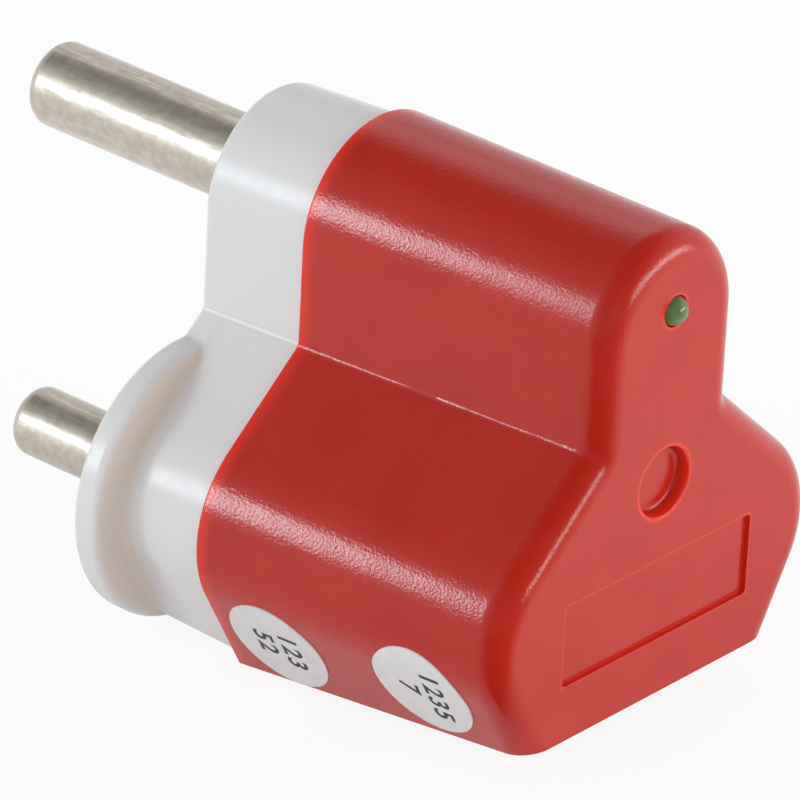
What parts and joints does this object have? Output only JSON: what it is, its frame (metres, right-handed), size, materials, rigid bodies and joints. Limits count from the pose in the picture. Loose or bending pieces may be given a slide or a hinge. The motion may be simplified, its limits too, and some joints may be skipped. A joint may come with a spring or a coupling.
{
  "type": "mains plug",
  "caption": "Round-pin mains plug with a white base, finger flange, deep red cover with surge protection inside, and a green lamp in its face.",
  "frame": {"origin": "midway between the live and neutral pins, on the engagement face", "axes": "+Y the way the pins point, +Z towards the earth pin, +X to the right when facing the rear face (live side)"},
  "size_m": [0.0538, 0.0793, 0.0523],
  "materials": {
    "base_plastic": "semi-gloss white moulded plastic",
    "cover_plastic": "semi-gloss red moulded plastic",
    "pin_metal": "polished nickel plate",
    "screw_metal": "zinc-plated steel",
    "washer_fibre": "red fibre",
    "sticker_paper": "matt white label",
    "board_laminate": "green laminate",
    "varistor_coating": "blue epoxy coating",
    "fuse_body": "ceramic and resin",
    "resistor_body": "grey-blue lacquer",
    "diode_body": "black epoxy",
    "lamp_lens": "tinted green epoxy lens",
    "spacer_plastic": "black nylon",
    "earth_insulation": "green insulation",
    "live_insulation": "brown insulation",
    "neutral_insulation": "blue insulation"
  },
  "bodies": {
    "base": {"base": "base_plastic", "earth_pin": "pin_metal", "live_pin": "pin_metal", "neutral_pin": "pin_metal", "earth_terminal_screw": "screw_metal", "live_terminal_screw": "screw_metal", "neutral_terminal_screw": "screw_metal", "cord_clamp_bar": "base_plastic", "cord_clamp_screws": "screw_metal", "circuit_board": "board_laminate", "board_screws": "screw_metal", "varistor_neutral_earth": "varistor_coating", "varistor_live_neutral": "varistor_coating", "varistor_live_earth": "varistor_coating", "thermal_fuse": "fuse_body", "lamp_resistor": "resistor_body", "lamp_diode": "diode_body", "status_lamp": "lamp_lens", "lamp_spacer": "spacer_plastic", "earth_lead": "earth_insulation", "live_lead": "live_insulation", "neutral_lead": "neutral_insulation"},
    "cover": {"cover": "cover_plastic", "front_sticker": "sticker_paper", "rear_sticker": "sticker_paper"},
    "cover_screw": {"cover_screw": "screw_metal", "screw_retainer": "washer_fibre"}
  },
  "joints": [
    {"name": "cover_lift_off", "type": "slide", "parent": "base", "child": "cover", "axis": [0, -1, 0], "range_m": [0, 0.05]},
    {"name": "cover_screw_turn", "type": "hinge", "parent": "base", "child": "cover_screw", "pos_m": [0, -0.0028, 0.0139], "axis": [0, 1, 0], "continuous": true}
  ]
}
